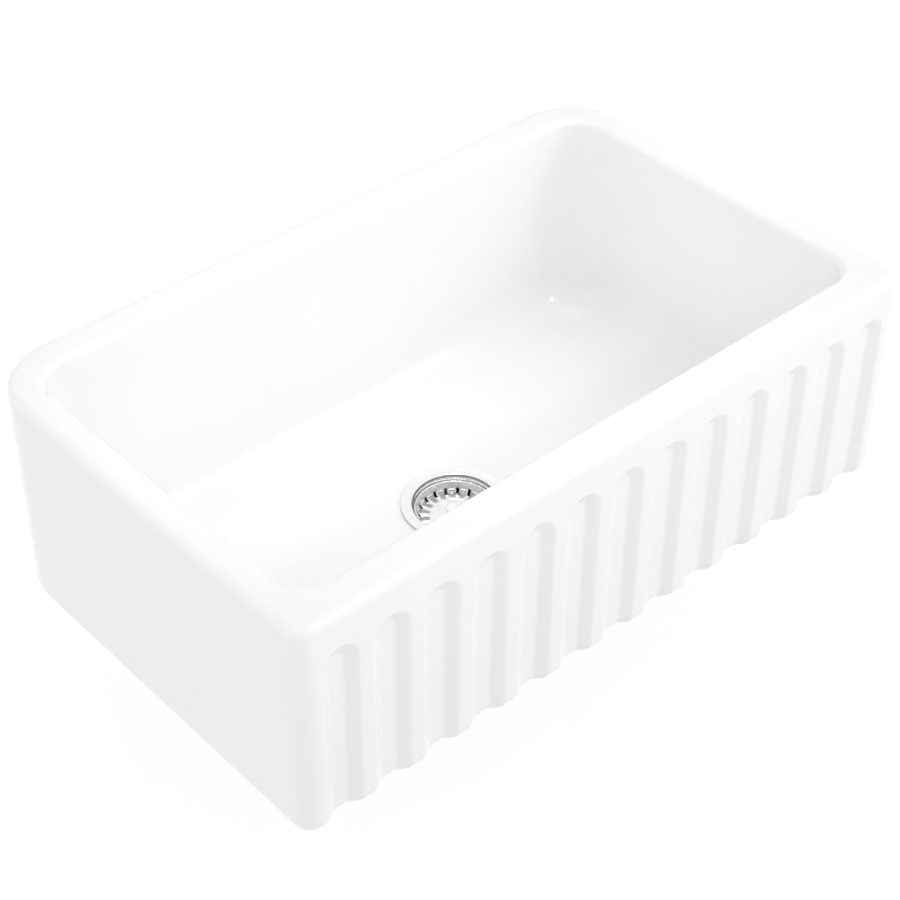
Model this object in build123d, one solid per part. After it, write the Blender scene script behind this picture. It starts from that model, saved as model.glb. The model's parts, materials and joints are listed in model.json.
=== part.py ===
from build123d import *

# Farmhouse apron front sink: a fluted fireclay basin with a basket strainer waste.
#
# All sizes are in millimetres. X runs along the apron to the right, Y to the back and Z up. The origin
# is on the drain's axis, in the plane of the underside that the sink rests on. The stopper is down.

import os
from math import sqrt

# ---- the fired body ----
SINK_WIDTH = 762.0
SINK_DEPTH = 463.0
SINK_HEIGHT = 250.0
FRONT_CORNER_R = 19.0        # upright corners beside the apron
REAR_CORNER_R = 65.0         # upright corners at the wall
RIM_EDGE_R = 10.0            # outer edge of the rim
FOOT_EDGE_R = 17.0           # edge all round the underside
FOOT_GRIND = 0.8             # ground off the rounded underside to make it level

# ---- the bowl ----
RIM_FRONT = 37.0
RIM_REAR = 37.0
RIM_SIDE = 30.0
RIM_LIP_R = 7.0              # inner edge of the rim
WALL_LEAN = 10.0             # how far each wall leans in, from rim to floor
BOWL_TOP_CORNER_R = 35.0
BOWL_FLOOR_CORNER_R = 62.0
BOWL_FLOOR_T = 23.0          # underside to the level part of the floor
BOWL_FILLET_R = 38.0         # between walls and floor
DISH_DROP = 5.5              # fall of the floor to the drain
DISH_MARGIN = 4.5            # level floor between the dish and the fillet of the nearest wall
DRAIN_PAD_MARGIN = 5.0       # level ring left outside the flange

# ---- the flutes of the apron ----
FLUTE_COUNT = 13
FLUTE_END_LAND = 5.3         # plain face between the outermost flute and the rounded corner
FLUTE_DEPTH = 7.5
FLUTE_FLAT = 17.0            # level bottom of a flute
FLUTE_RAMP = 11.8            # width of each sloping side
FLUTE_BELOW_RIM = 38.0       # rim to the crown of the round arch
FLUTE_HOLLOW_R = 7.0         # where a side meets the level bottom
FLUTE_CREST_R = 7.0          # where a side meets the face
FLUTE_OVERRUN = 2.0          # how far the cutter's sides run on past the face

# ---- strainer cup and its flange ----
SHEET = 1.0
THROAT_R = 43.0
THROAT_ROLL_R = 3.5          # middle of the sheet, where the flange turns down
FLANGE_WIDTH = 13.0          # throat to outer edge
FLANGE_DROP = 0.3            # fall of the flange to its outer edge
FLANGE_BEND_R = 8.0          # where the fall begins
LEDGE_BELOW_FLANGE = 8.6
CUP_DEPTH = 54.0             # flange to cup floor
CUP_FOOT_R = 8.0
OUTLET_R = 19.5
FLANGE_GASKET_T = 1.2
GASKET_SETBACK = 1.0         # how far a gasket stays inside what it seals
HOLE_CLEARANCE = 1.5         # between the throat and the hole in the fireclay

# ---- outlet nipple, outer cup and locknut ----
NIPPLE_WALL = 4.3
NIPPLE_LENGTH = 41.0
NIPPLE_COLLAR_T = 2.0
NIPPLE_COLLAR_WIDTH = 4.0
THREAD_PITCH = 2.3
THREAD_DEPTH = 1.0
THREAD_CREST = 0.4           # width of the level top of a turn
THREAD_RUNOUT = 1.0          # plain stretch at each end of the thread
THREAD_CLEARANCE = 0.25
UNDER_GASKET_T = 3.0
SEAT_DEPTH = 2.0             # recess under the floor that centres the gasket
SEAT_CLEARANCE = 3.0
OUTER_CUP_T = 2.0
OUTER_CUP_LIP = 7.5
OUTER_CUP_TAPER = 6.0
CUPS_GAP = 3.5               # between the two cups at the foot
OUTER_CUP_BEND_R = 3.0
CUP_SEAL_T = 3.0
SLIP_WASHER_T = 1.0
SLIP_WASHER_WIDTH = 11.0
LOCKNUT_T = 9.0
LOCKNUT_WALL = 6.0
LUG_COUNT = 6
LUG_HEIGHT = 4.5
LUG_WIDTH = 11.0
LUG_T = 7.0

# ---- tailpiece and its nut ----
TAIL_R = 19.05
TAIL_WALL = 1.2
TAIL_LENGTH = 88.0
TAIL_FLANGE_WIDTH = 4.0
TAIL_FLANGE_T = 1.5
TAIL_WASHER_T = 2.0
TAIL_MARK_BELOW_NUT = 4.0    # rolled line that shows how far up a trap's nut goes
TAIL_MARK_WIDTH = 1.0
TAIL_MARK_DEPTH = 0.4
COUPLING_WALL = 4.0
COUPLING_OVERLAP = 11.0      # how far the nut climbs the nipple
COUPLING_LIP_T = 3.0
COUPLING_LIP_CLEARANCE = 0.35
RIB_COUNT = 10
RIB_R = 2.5

# ---- basket ----
BASKET_SHEET = 0.6
BASKET_BEAD_R = 1.2          # half the thickness of the rolled rim
BASKET_SIDE_GAP = 0.5        # between the rim and the throat
LEDGE_CLEARANCE = 0.1        # between the ledge and the widest part of the leaning wall
BASKET_DEPTH = 12.0          # rim to floor
BASKET_LEAN = 2.9            # how far the wall leans in, from rim to floor
BASKET_CORNER_R = 4.5
SLOT_COUNT = 19
SLOT_WIDTH = 3.2
SLOT_START_ANGLE = 6.5
SLOT_LENGTH = 2.2            # along the floor, up to the wall
SLOT_RISE = 4.6              # how far a slot climbs the wall
PETAL_INNER_R = 26.5
PETAL_LENGTH = 9.5
PETAL_HEIGHT = 1.1
PETAL_TROUGH = 5.0           # between two petals
PETAL_EDGE_R = 0.5

# ---- bush, stem and knob ----
STEM_R = 3.5
STEM_RUNNING = 0.05          # all round, in the bush
STEM_SHOULDER = 1.5
STOPPER_TRAVEL = 8.0
STOP_GAP = 0.3               # left between the shoulder and the bush when the stopper is up
BUSH_WALL = 2.45
BUSH_FLANGE_WIDTH = 3.0
BUSH_FLANGE_T = 1.4
BUSH_LENGTH = 9.0
BUSH_NUT_T = 2.6
BUSH_NUT_WIDTH = 3.2
DETENT_WIRE_R = 0.5
DETENT_GROOVE_DEPTH = 0.3
DETENT_ABOVE_BUSH_END = 3.0
DETENT_GAP_ANGLE = 40.0
KNOB_R = 10.0
KNOB_WAIST = 3.4             # how much slimmer the knob is below its head
KNOB_HEIGHT = 11.3
KNOB_HEAD_T = 5.0
KNOB_EDGE_R = 2.0
KNOB_GAP = 0.4               # between knob and bush when the stopper is down
KNOB_SOCKET = 7.0
SOCKET_CLEARANCE = 0.1

# ---- stopper ----
STOPPER_OVERLAP = 5.5        # of the rubber over the cup's floor
STOPPER_T = 4.0
STOPPER_PLUG = 2.4           # depth of the plug that hangs in the outlet
STOPPER_PLUG_GAP = 1.0
STOPPER_PLATE_INSET = 5.0
STOPPER_PLATE_T = 1.0
STEM_NUT_T = 4.0
STEM_NUT_WIDTH = 2.6
STEM_TIP = 1.2
SEAT_GAP = 0.1               # between a loose piece and what it rests on

# ---- radii that follow ----
DRAIN_HOLE_R = THROAT_R + SHEET + HOLE_CLEARANCE
FLANGE_R = THROAT_R + FLANGE_WIDTH
BASKET_RIM_R = THROAT_R - BASKET_SIDE_GAP
BASKET_WALL_R = BASKET_RIM_R - 2 * BASKET_BEAD_R
LEDGE_R = BASKET_WALL_R + BASKET_SHEET + LEDGE_CLEARANCE
NIPPLE_R = OUTLET_R + NIPPLE_WALL
THREAD_BORE_R = NIPPLE_R + THREAD_CLEARANCE
OUTER_CUP_FOOT_R = LEDGE_R + SHEET + CUPS_GAP + OUTER_CUP_T / 2
OUTER_CUP_TOP_R = OUTER_CUP_FOOT_R + OUTER_CUP_TAPER
OUTER_CUP_RIM_R = OUTER_CUP_TOP_R + OUTER_CUP_LIP
SEAT_R = OUTER_CUP_RIM_R + SEAT_CLEARANCE
BUSH_BORE_R = STEM_R + STEM_RUNNING
BUSH_R = BUSH_BORE_R + BUSH_WALL
STOPPER_R = OUTLET_R + STOPPER_OVERLAP

# ---- heights that follow ----
DRAIN_Z = BOWL_FLOOR_T - DISH_DROP
FLANGE_Z = DRAIN_Z + FLANGE_GASKET_T
FLANGE_TOP_Z = FLANGE_Z + FLANGE_DROP + SHEET
LEDGE_Z = FLANGE_TOP_Z - LEDGE_BELOW_FLANGE
CUP_FLOOR_Z = FLANGE_TOP_Z - CUP_DEPTH
NIPPLE_Z = CUP_FLOOR_Z - SHEET
NIPPLE_END_Z = NIPPLE_Z - NIPPLE_LENGTH
UNDER_GASKET_Z = SEAT_DEPTH - UNDER_GASKET_T
CUP_SEAL_Z = NIPPLE_Z - NIPPLE_COLLAR_T - CUP_SEAL_T
SLIP_WASHER_Z = CUP_SEAL_Z - OUTER_CUP_T - SLIP_WASHER_T
LOCKNUT_Z = SLIP_WASHER_Z - LOCKNUT_T
TAIL_TOP_Z = NIPPLE_END_Z - TAIL_WASHER_T
TAIL_END_Z = TAIL_TOP_Z - TAIL_LENGTH
COUPLING_LIP_Z = TAIL_TOP_Z - TAIL_FLANGE_T
COUPLING_END_Z = COUPLING_LIP_Z - COUPLING_LIP_T
BASKET_BEAD_Z = LEDGE_Z + SEAT_GAP + BASKET_BEAD_R
BASKET_FLOOR_Z = BASKET_BEAD_Z + BASKET_BEAD_R - BASKET_DEPTH
BUSH_TOP_Z = BASKET_FLOOR_Z + BUSH_FLANGE_T
BUSH_END_Z = BUSH_TOP_Z - BUSH_LENGTH
DETENT_Z = BUSH_END_Z + DETENT_ABOVE_BUSH_END
KNOB_Z = BUSH_TOP_Z + KNOB_GAP
STOPPER_Z = CUP_FLOOR_Z + SEAT_GAP
PLATE_Z = STOPPER_Z + STOPPER_T
STEM_NUT_Z = STOPPER_Z - STOPPER_PLUG


# ---- helpers ----
def ring(inner_r, outer_r, low_z, high_z):
    """A plain washer or tube round the Z axis."""
    section = Pos(inner_r, low_z) * Rectangle(
        outer_r - inner_r, high_z - low_z, align=(Align.MIN, Align.MIN)
    )
    return revolve(Plane.XZ * section, Axis.Z)


def turned(corners, radii=0):
    """A turned piece, from the corners (radius, height) of its half section and their roundings."""
    outline = FilletPolyline(*corners, radius=radii, close=True)
    return revolve(Plane.XZ * make_face(outline), Axis.Z)


def pressed(corners, radii, thickness):
    """A pressed sheet, from the corners of the middle line of its half section and their bends."""
    middle_line = FilletPolyline(*corners, radius=radii)
    return revolve(Plane.XZ * trace(middle_line, thickness), Axis.Z)


def hexagon_nut(bore_r, width, low_z, high_z):
    """A six-sided nut whose flats stand width outside its bore, with its corners turned off."""
    height = high_z - low_z
    flats_r = bore_r + width
    corner_r = flats_r * 2 / sqrt(3)
    bevel = corner_r - flats_r
    prism = extrude(Pos(0, 0, low_z) * RegularPolygon(flats_r, 6, major_radius=False), height)
    blank = [(0, low_z), (flats_r, low_z), (corner_r, low_z + bevel / 2)]
    blank += [(corner_r, high_z - bevel / 2), (flats_r, high_z), (0, high_z)]
    return (prism & turned(blank)) - ring(0, bore_r, low_z - 1, high_z + 1)


def thread_crests(radius, low_z, high_z):
    """Corners, from low to high, of the rings that stand in for a thread's turns."""
    turns = int((high_z - low_z) / THREAD_PITCH)
    corners = []
    for turn in range(turns):
        start_z = low_z + turn * THREAD_PITCH
        corners.append((radius - THREAD_DEPTH, start_z))
        corners.append((radius, start_z + (THREAD_PITCH - THREAD_CREST) / 2))
        corners.append((radius, start_z + (THREAD_PITCH + THREAD_CREST) / 2))
    corners.append((radius - THREAD_DEPTH, low_z + turns * THREAD_PITCH))
    return corners


# ---- the fired body ----
def rounded_plan(half_x, front_y, rear_y, front_r, rear_r, z):
    """A level face with one radius at its two front corners and another at its two rear corners."""
    outline = FilletPolyline(
        (-half_x, front_y, z),
        (half_x, front_y, z),
        (half_x, rear_y, z),
        (-half_x, rear_y, z),
        radius=[front_r, front_r, rear_r, rear_r],
        close=True,
    )
    return make_face(outline)


def outer_block():
    """The outside of the body before it is fluted and hollowed."""
    plan = rounded_plan(
        SINK_WIDTH / 2, -SINK_DEPTH / 2, SINK_DEPTH / 2, FRONT_CORNER_R, REAR_CORNER_R, -FOOT_GRIND
    )
    block = extrude(plan, SINK_HEIGHT + FOOT_GRIND, dir=(0, 0, 1))
    block = fillet(block.faces().sort_by(Axis.Z)[0].edges(), FOOT_EDGE_R)
    block = fillet(block.faces().sort_by(Axis.Z)[-1].edges(), RIM_EDGE_R)
    return split(block, Plane.XY, keep=Keep.TOP)


def bowl_void():
    """The hollow of the bowl: walls that lean in, and fillets down to a level floor."""
    half_x = SINK_WIDTH / 2 - RIM_SIDE
    front_y = -SINK_DEPTH / 2 + RIM_FRONT
    rear_y = SINK_DEPTH / 2 - RIM_REAR
    top = rounded_plan(
        half_x, front_y, rear_y, BOWL_TOP_CORNER_R, BOWL_TOP_CORNER_R, SINK_HEIGHT
    )
    floor = rounded_plan(
        half_x - WALL_LEAN,
        front_y + WALL_LEAN,
        rear_y - WALL_LEAN,
        BOWL_FLOOR_CORNER_R,
        BOWL_FLOOR_CORNER_R,
        BOWL_FLOOR_T,
    )
    void = loft([floor, top], ruled=True)
    return fillet(void.faces().sort_by(Axis.Z)[0].edges(), BOWL_FILLET_R)


def dish_void():
    """The fall of the floor to the drain: level round the drain, an S-curve, level again outside."""
    pad_r = FLANGE_R + DRAIN_PAD_MARGIN
    nearest_wall = SINK_DEPTH / 2 - max(RIM_FRONT, RIM_REAR) - WALL_LEAN
    dish_r = nearest_wall - BOWL_FILLET_R - DISH_MARGIN
    middle = ((pad_r + dish_r) / 2, DRAIN_Z + DISH_DROP / 2)
    inner_bend = TangentArc((pad_r, DRAIN_Z), middle, tangent=(1, 0))
    outer_bend = TangentArc((dish_r, BOWL_FLOOR_T), middle, tangent=(-1, 0))
    top_z = BOWL_FLOOR_T + DISH_DROP
    outline = Curve() + [
        Line((0, DRAIN_Z), (pad_r, DRAIN_Z)),
        inner_bend,
        outer_bend,
        Line((dish_r, BOWL_FLOOR_T), (dish_r, top_z)),
        Line((dish_r, top_z), (0, top_z)),
        Line((0, top_z), (0, DRAIN_Z)),
    ]
    return revolve(Plane.XZ * make_face(outline), Axis.Z)


def beyond_apron(x, face_y, top_z):
    """The upright face, at x, of all that lies in front of an apron surface whose face is at face_y."""
    arc_z = FOOT_EDGE_R - FOOT_GRIND
    low_z = -FOOT_GRIND
    under_z = low_z - FOOT_EDGE_R
    front_y = face_y - 4 * FLUTE_DEPTH
    rear_y = face_y + FOOT_EDGE_R
    outline = Curve() + [
        Line((x, face_y, top_z), (x, face_y, arc_z)),
        TangentArc((x, face_y, arc_z), (x, rear_y, low_z), tangent=(0, 0, -1)),
        Line((x, rear_y, low_z), (x, rear_y, under_z)),
        Line((x, rear_y, under_z), (x, front_y, under_z)),
        Line((x, front_y, under_z), (x, front_y, top_z)),
        Line((x, front_y, top_z), (x, face_y, top_z)),
    ]
    return make_face(outline)


def flute_cutter():
    """One flute at x = 0: a level bottom, two sloping sides and a round arch on top."""
    bottom_y = -SINK_DEPTH / 2 + FLUTE_DEPTH
    half_flat = FLUTE_FLAT / 2
    arch_z = SINK_HEIGHT - FLUTE_BELOW_RIM - half_flat - FLUTE_RAMP
    reach = 1 + FLUTE_OVERRUN / FLUTE_RAMP
    slope = reach * sqrt(FLUTE_RAMP**2 + FLUTE_DEPTH**2)
    left_face = beyond_apron(-half_flat, bottom_y, arch_z)
    right_face = beyond_apron(half_flat, bottom_y, arch_z)
    cutter = extrude(left_face, FLUTE_FLAT, dir=(1, 0, 0))
    cutter += extrude(left_face, slope, dir=(-FLUTE_RAMP, -FLUTE_DEPTH, 0))
    cutter += extrude(right_face, slope, dir=(FLUTE_RAMP, -FLUTE_DEPTH, 0))
    arch_r = half_flat + reach * FLUTE_RAMP
    front_y = bottom_y - 4 * FLUTE_DEPTH
    arch = Polyline(
        (0, bottom_y, arch_z),
        (half_flat, bottom_y, arch_z),
        (arch_r, bottom_y - reach * FLUTE_DEPTH, arch_z),
        (arch_r, front_y, arch_z),
        (0, front_y, arch_z),
        close=True,
    )
    return cutter + revolve(make_face(arch), Axis((0, 0, arch_z), (0, 1, 0)))


def flute_creases(body, flute_x, half_width):
    """The long creases of one flute that lie half_width from its middle, with the arch over them."""
    creases = ShapeList()
    for edge in body.edges():
        box = edge.bounding_box()
        at_apron = box.max.Y < -SINK_DEPTH / 2 + FLUTE_DEPTH + FOOT_EDGE_R
        upright = box.size.X < 0.01 and abs(abs(box.center().X - flute_x) - half_width) < 0.01
        arched = box.min.Z > SINK_HEIGHT / 2 and abs(box.size.X - 2 * half_width) < 0.01
        over_flute = abs(box.center().X - flute_x) < 0.01
        if at_apron and (upright or (arched and over_flute)):
            creases.append(edge)
    return creases


def fluted(body):
    """The body with its flutes cut and their creases softened."""
    half_flat = FLUTE_FLAT / 2
    half_width = half_flat + FLUTE_RAMP
    last_x = SINK_WIDTH / 2 - FRONT_CORNER_R - FLUTE_END_LAND - half_width
    pitch = 2 * last_x / (FLUTE_COUNT - 1)
    places = [i * pitch - last_x for i in range(FLUTE_COUNT)]
    cutter = flute_cutter()
    body -= [Pos(x, 0, 0) * cutter for x in places]
    for x in places:
        body = fillet(flute_creases(body, x, half_flat), FLUTE_HOLLOW_R)
        body = fillet(flute_creases(body, x, half_width), FLUTE_CREST_R)
    return body


def fireclay_basin():
    """The one-piece body: fluted outside, hollowed, pierced for the waste and seated below for it."""
    body = fluted(outer_block())
    body -= bowl_void()
    body -= dish_void()
    body -= ring(0, DRAIN_HOLE_R, -1, BOWL_FLOOR_T)
    body -= ring(0, SEAT_R, -1, SEAT_DEPTH)
    inner_y = SINK_DEPTH / 2 - min(RIM_FRONT, RIM_REAR) + 1
    inner_x = SINK_WIDTH / 2 - RIM_SIDE + 1
    lip = ShapeList()
    for edge in body.edges():
        middle = edge.center()
        level_with_rim = edge.bounding_box().min.Z > SINK_HEIGHT - 0.01
        if level_with_rim and abs(middle.X) < inner_x and abs(middle.Y) < inner_y:
            lip.append(edge)
    return fillet(lip, RIM_LIP_R)


# ---- strainer cup ----
def strainer_cup():
    """The pressed cup: a rolled flange, a ledge for the basket, and a floor with the outlet."""
    half = SHEET / 2
    middle_line = [
        (FLANGE_R, FLANGE_Z + half),
        (THROAT_R + half + 2 * THROAT_ROLL_R, FLANGE_TOP_Z - half),
        (THROAT_R + half, FLANGE_TOP_Z - half),
        (THROAT_R + half, LEDGE_Z - half),
        (LEDGE_R + half, LEDGE_Z - half),
        (LEDGE_R + half, CUP_FLOOR_Z - half),
        (OUTLET_R, CUP_FLOOR_Z - half),
    ]
    bends = [FLANGE_BEND_R, THROAT_ROLL_R, SHEET, 0, CUP_FOOT_R]
    return pressed(middle_line, bends, SHEET)


def flange_gasket():
    """The soft ring that beds the flange on the fireclay."""
    return ring(DRAIN_HOLE_R + GASKET_SETBACK, FLANGE_R - GASKET_SETBACK, DRAIN_Z, FLANGE_Z)


def outlet_nipple():
    """The threaded outlet under the cup's floor, with a collar on top."""
    collar_r = NIPPLE_R + NIPPLE_COLLAR_WIDTH
    collar_z = NIPPLE_Z - NIPPLE_COLLAR_T
    thread = thread_crests(NIPPLE_R, NIPPLE_END_Z + THREAD_RUNOUT, collar_z - THREAD_RUNOUT)
    outline = [(OUTLET_R, NIPPLE_END_Z), (NIPPLE_R - THREAD_DEPTH, NIPPLE_END_Z)]
    outline += thread
    outline += [(NIPPLE_R - THREAD_DEPTH, collar_z), (collar_r, collar_z)]
    outline += [(collar_r, NIPPLE_Z), (OUTLET_R, NIPPLE_Z)]
    return turned(outline)


def under_gasket():
    """The rubber ring in the seat under the fireclay."""
    return ring(
        DRAIN_HOLE_R + GASKET_SETBACK, OUTER_CUP_RIM_R - GASKET_SETBACK, UNDER_GASKET_Z, SEAT_DEPTH
    )


def outer_cup():
    """The clamping cup: a lip under the gasket, a tapered wall and a floor round the nipple."""
    half = OUTER_CUP_T / 2
    middle_line = [
        (OUTER_CUP_RIM_R, UNDER_GASKET_Z - half),
        (OUTER_CUP_TOP_R, UNDER_GASKET_Z - half),
        (OUTER_CUP_FOOT_R, CUP_SEAL_Z - half),
        (THREAD_BORE_R, CUP_SEAL_Z - half),
    ]
    return pressed(middle_line, OUTER_CUP_BEND_R, OUTER_CUP_T)


def cup_seal():
    """The rubber ring clamped between the nipple's collar and the outer cup's floor."""
    outer_r = NIPPLE_R + NIPPLE_COLLAR_WIDTH
    return ring(THREAD_BORE_R, outer_r, CUP_SEAL_Z, CUP_SEAL_Z + CUP_SEAL_T)


def slip_washer():
    """The fibre washer that lets the locknut turn."""
    outer_r = THREAD_BORE_R + SLIP_WASHER_WIDTH
    return ring(THREAD_BORE_R, outer_r, SLIP_WASHER_Z, SLIP_WASHER_Z + SLIP_WASHER_T)


def locknut():
    """The large nut with lugs that pulls both cups together."""
    outer_r = THREAD_BORE_R + LOCKNUT_WALL
    lug = Pos(outer_r, 0, LOCKNUT_Z) * Box(
        2 * LUG_HEIGHT, LUG_WIDTH, LUG_T, align=(Align.CENTER, Align.CENTER, Align.MIN)
    )
    lug = fillet(lug.edges().filter_by(Axis.Z).sort_by(Axis.X)[-2:], LUG_HEIGHT / 2)
    nut = ring(0, outer_r, LOCKNUT_Z, SLIP_WASHER_Z)
    for i in range(LUG_COUNT):
        nut += Rot(0, 0, i * 360 / LUG_COUNT) * lug
    return nut - ring(0, THREAD_BORE_R, LOCKNUT_Z - 1, SLIP_WASHER_Z + 1)


# ---- tailpiece ----
def tailpiece_washer():
    """The washer between the nipple's end and the tailpiece."""
    return ring(OUTLET_R, NIPPLE_R - GASKET_SETBACK, TAIL_TOP_Z, NIPPLE_END_Z)


def tailpiece():
    """The flanged tube that a trap slides onto, with a rolled line round it."""
    bore_r = TAIL_R - TAIL_WALL
    mark_z = COUPLING_END_Z - TAIL_MARK_BELOW_NUT
    outline = [
        (bore_r, TAIL_END_Z),
        (TAIL_R, TAIL_END_Z),
        (TAIL_R, mark_z - TAIL_MARK_WIDTH),
        (TAIL_R - TAIL_MARK_DEPTH, mark_z - TAIL_MARK_WIDTH),
        (TAIL_R - TAIL_MARK_DEPTH, mark_z),
        (TAIL_R, mark_z),
        (TAIL_R, COUPLING_LIP_Z),
        (TAIL_R + TAIL_FLANGE_WIDTH, COUPLING_LIP_Z),
        (TAIL_R + TAIL_FLANGE_WIDTH, TAIL_TOP_Z),
        (bore_r, TAIL_TOP_Z),
    ]
    return turned(outline)


def coupling_nut():
    """The ribbed nut that holds the tailpiece's flange up to the nipple."""
    outer_r = THREAD_BORE_R + COUPLING_WALL
    top_z = NIPPLE_END_Z + COUPLING_OVERLAP
    lip_r = TAIL_R + COUPLING_LIP_CLEARANCE
    outline = [
        (lip_r, COUPLING_END_Z),
        (outer_r, COUPLING_END_Z),
        (outer_r, top_z),
        (THREAD_BORE_R, top_z),
        (THREAD_BORE_R, COUPLING_LIP_Z),
        (lip_r, COUPLING_LIP_Z),
    ]
    nut = turned(outline, [0, COUPLING_WALL / 2, COUPLING_WALL / 4, 0, 0, 0])
    height = top_z - COUPLING_END_Z - COUPLING_WALL
    rib = Pos(outer_r, 0, COUPLING_END_Z + COUPLING_WALL / 2) * Cylinder(
        RIB_R, height, align=(Align.CENTER, Align.CENTER, Align.MIN)
    )
    for i in range(RIB_COUNT):
        nut += Rot(0, 0, i * 360 / RIB_COUNT) * rib
    return nut


# ---- basket ----
def basket_blank():
    """The basket before it is slotted: a floor, a leaning wall and a rolled rim."""
    half = BASKET_SHEET / 2
    middle_line = FilletPolyline(
        (BUSH_R, BASKET_FLOOR_Z - half),
        (BASKET_WALL_R - BASKET_LEAN + half, BASKET_FLOOR_Z - half),
        (BASKET_WALL_R + half, BASKET_BEAD_Z),
        radius=BASKET_CORNER_R,
    )
    bead = Pos(BASKET_RIM_R - BASKET_BEAD_R, BASKET_BEAD_Z) * Circle(BASKET_BEAD_R)
    return revolve(Plane.XZ * (trace(middle_line, BASKET_SHEET) + bead), Axis.Z)


def petal_ring():
    """The raised petals of the basket's floor, parted by a trough at each slot."""
    outer_r = PETAL_INNER_R + PETAL_LENGTH
    top_z = BASKET_FLOOR_Z + PETAL_HEIGHT
    petals = ring(PETAL_INNER_R, outer_r, BASKET_FLOOR_Z, top_z)
    trough = Pos(PETAL_INNER_R - PETAL_TROUGH, 0, BASKET_FLOOR_Z) * Box(
        PETAL_LENGTH + 2 * PETAL_TROUGH,
        PETAL_TROUGH,
        2 * PETAL_HEIGHT,
        align=(Align.MIN, Align.CENTER, Align.MIN),
    )
    petals -= [Rot(0, 0, angle) * trough for angle in slot_angles()]
    return fillet(petals.faces().filter_by(Axis.Z).group_by(Axis.Z)[-1].edges(), PETAL_EDGE_R)


def slot_angles():
    """The directions of the slots, seen from above."""
    return [SLOT_START_ANGLE + i * 360 / SLOT_COUNT for i in range(SLOT_COUNT)]


def basket():
    """The slotted basket that sits on the ledge of the cup."""
    foot_r = BASKET_WALL_R - BASKET_LEAN
    slot_r = foot_r - SLOT_LENGTH
    low_z = BASKET_FLOOR_Z - 2 * BASKET_SHEET
    round_end = Pos(slot_r + SLOT_WIDTH / 2, 0) * Circle(SLOT_WIDTH / 2)
    run = Pos(slot_r + SLOT_WIDTH / 2, 0) * Rectangle(
        BASKET_RIM_R - slot_r, SLOT_WIDTH, align=(Align.MIN, Align.CENTER)
    )
    height = BASKET_FLOOR_Z + SLOT_RISE - low_z
    slot = extrude(Pos(0, 0, low_z) * (round_end + run), height)
    body = basket_blank() + petal_ring()
    return body - [Rot(0, 0, angle) * slot for angle in slot_angles()]


def basket_bush():
    """The turned bush in the basket's floor, with a groove inside for the detent ring."""
    flange_r = BUSH_R + BUSH_FLANGE_WIDTH
    groove_r = BUSH_BORE_R + 3 * DETENT_WIRE_R
    outline = [
        (BUSH_BORE_R, BUSH_END_Z),
        (BUSH_R, BUSH_END_Z),
        (BUSH_R, BASKET_FLOOR_Z),
        (flange_r, BASKET_FLOOR_Z),
        (flange_r, BUSH_TOP_Z),
        (BUSH_BORE_R, BUSH_TOP_Z),
        (BUSH_BORE_R, DETENT_Z + 2 * DETENT_WIRE_R),
        (groove_r, DETENT_Z + 2 * DETENT_WIRE_R),
        (groove_r, DETENT_Z - 2 * DETENT_WIRE_R),
        (BUSH_BORE_R, DETENT_Z - 2 * DETENT_WIRE_R),
    ]
    edge = BUSH_FLANGE_T / 2
    return turned(outline, [0, 0, 0, 0, edge, 0, 0, 0, 0, 0])


def bush_nut():
    """The nut under the basket's floor that holds the bush."""
    top_z = BASKET_FLOOR_Z - BASKET_SHEET
    return hexagon_nut(BUSH_R + SOCKET_CLEARANCE, BUSH_NUT_WIDTH, top_z - BUSH_NUT_T, top_z)


def detent_ring():
    """The split spring ring in the bush's groove."""
    wire_r = BUSH_BORE_R + SOCKET_CLEARANCE + DETENT_WIRE_R
    section = Pos(wire_r, DETENT_Z) * Circle(DETENT_WIRE_R)
    return revolve(Plane.XZ * section, Axis.Z, 360 - DETENT_GAP_ANGLE)


# ---- stopper ----
def stopper_stem():
    """The stem: two grooves one travel apart, a shoulder that stops it, and a tip for the nut."""
    groove_r = STEM_R - DETENT_GROOVE_DEPTH
    shoulder_r = STEM_R + STEM_SHOULDER
    shoulder_z = BUSH_END_Z - STOPPER_TRAVEL - STOP_GAP
    tip_z = STEM_NUT_Z - STEM_NUT_T - STEM_TIP
    outline = [(0, tip_z), (STEM_R, tip_z), (STEM_R, PLATE_Z + STOPPER_PLATE_T)]
    outline += [(shoulder_r, PLATE_Z + STOPPER_PLATE_T), (shoulder_r, shoulder_z), (STEM_R, shoulder_z)]
    for groove_z in (DETENT_Z - STOPPER_TRAVEL, DETENT_Z):
        outline += [(STEM_R, groove_z - DETENT_WIRE_R), (groove_r, groove_z)]
        outline += [(STEM_R, groove_z + DETENT_WIRE_R)]
    outline += [(STEM_R, KNOB_Z + KNOB_SOCKET), (0, KNOB_Z + KNOB_SOCKET)]
    return turned(outline)


def knob():
    """The pull knob: a domed head on a slimmer waist, with a socket for the stem."""
    top_z = KNOB_Z + KNOB_HEIGHT
    head_z = top_z - KNOB_HEAD_T
    waist_r = KNOB_R - KNOB_WAIST
    outline = [
        (0, KNOB_Z),
        (waist_r, KNOB_Z),
        (waist_r, head_z),
        (KNOB_R, head_z),
        (KNOB_R, top_z - KNOB_HEAD_T / 3),
        (KNOB_R / 3, top_z),
        (0, top_z),
    ]
    body = turned(outline, [0, KNOB_EDGE_R / 2, KNOB_EDGE_R, KNOB_EDGE_R / 2, KNOB_EDGE_R, KNOB_R, 0])
    return body - ring(0, STEM_R + SOCKET_CLEARANCE, KNOB_Z - 1, KNOB_Z + KNOB_SOCKET)


def stopper_plate():
    """The steel disc that backs the rubber."""
    bore_r = STEM_R + SOCKET_CLEARANCE
    return ring(bore_r, STOPPER_R - STOPPER_PLATE_INSET, PLATE_Z, PLATE_Z + STOPPER_PLATE_T)


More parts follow.
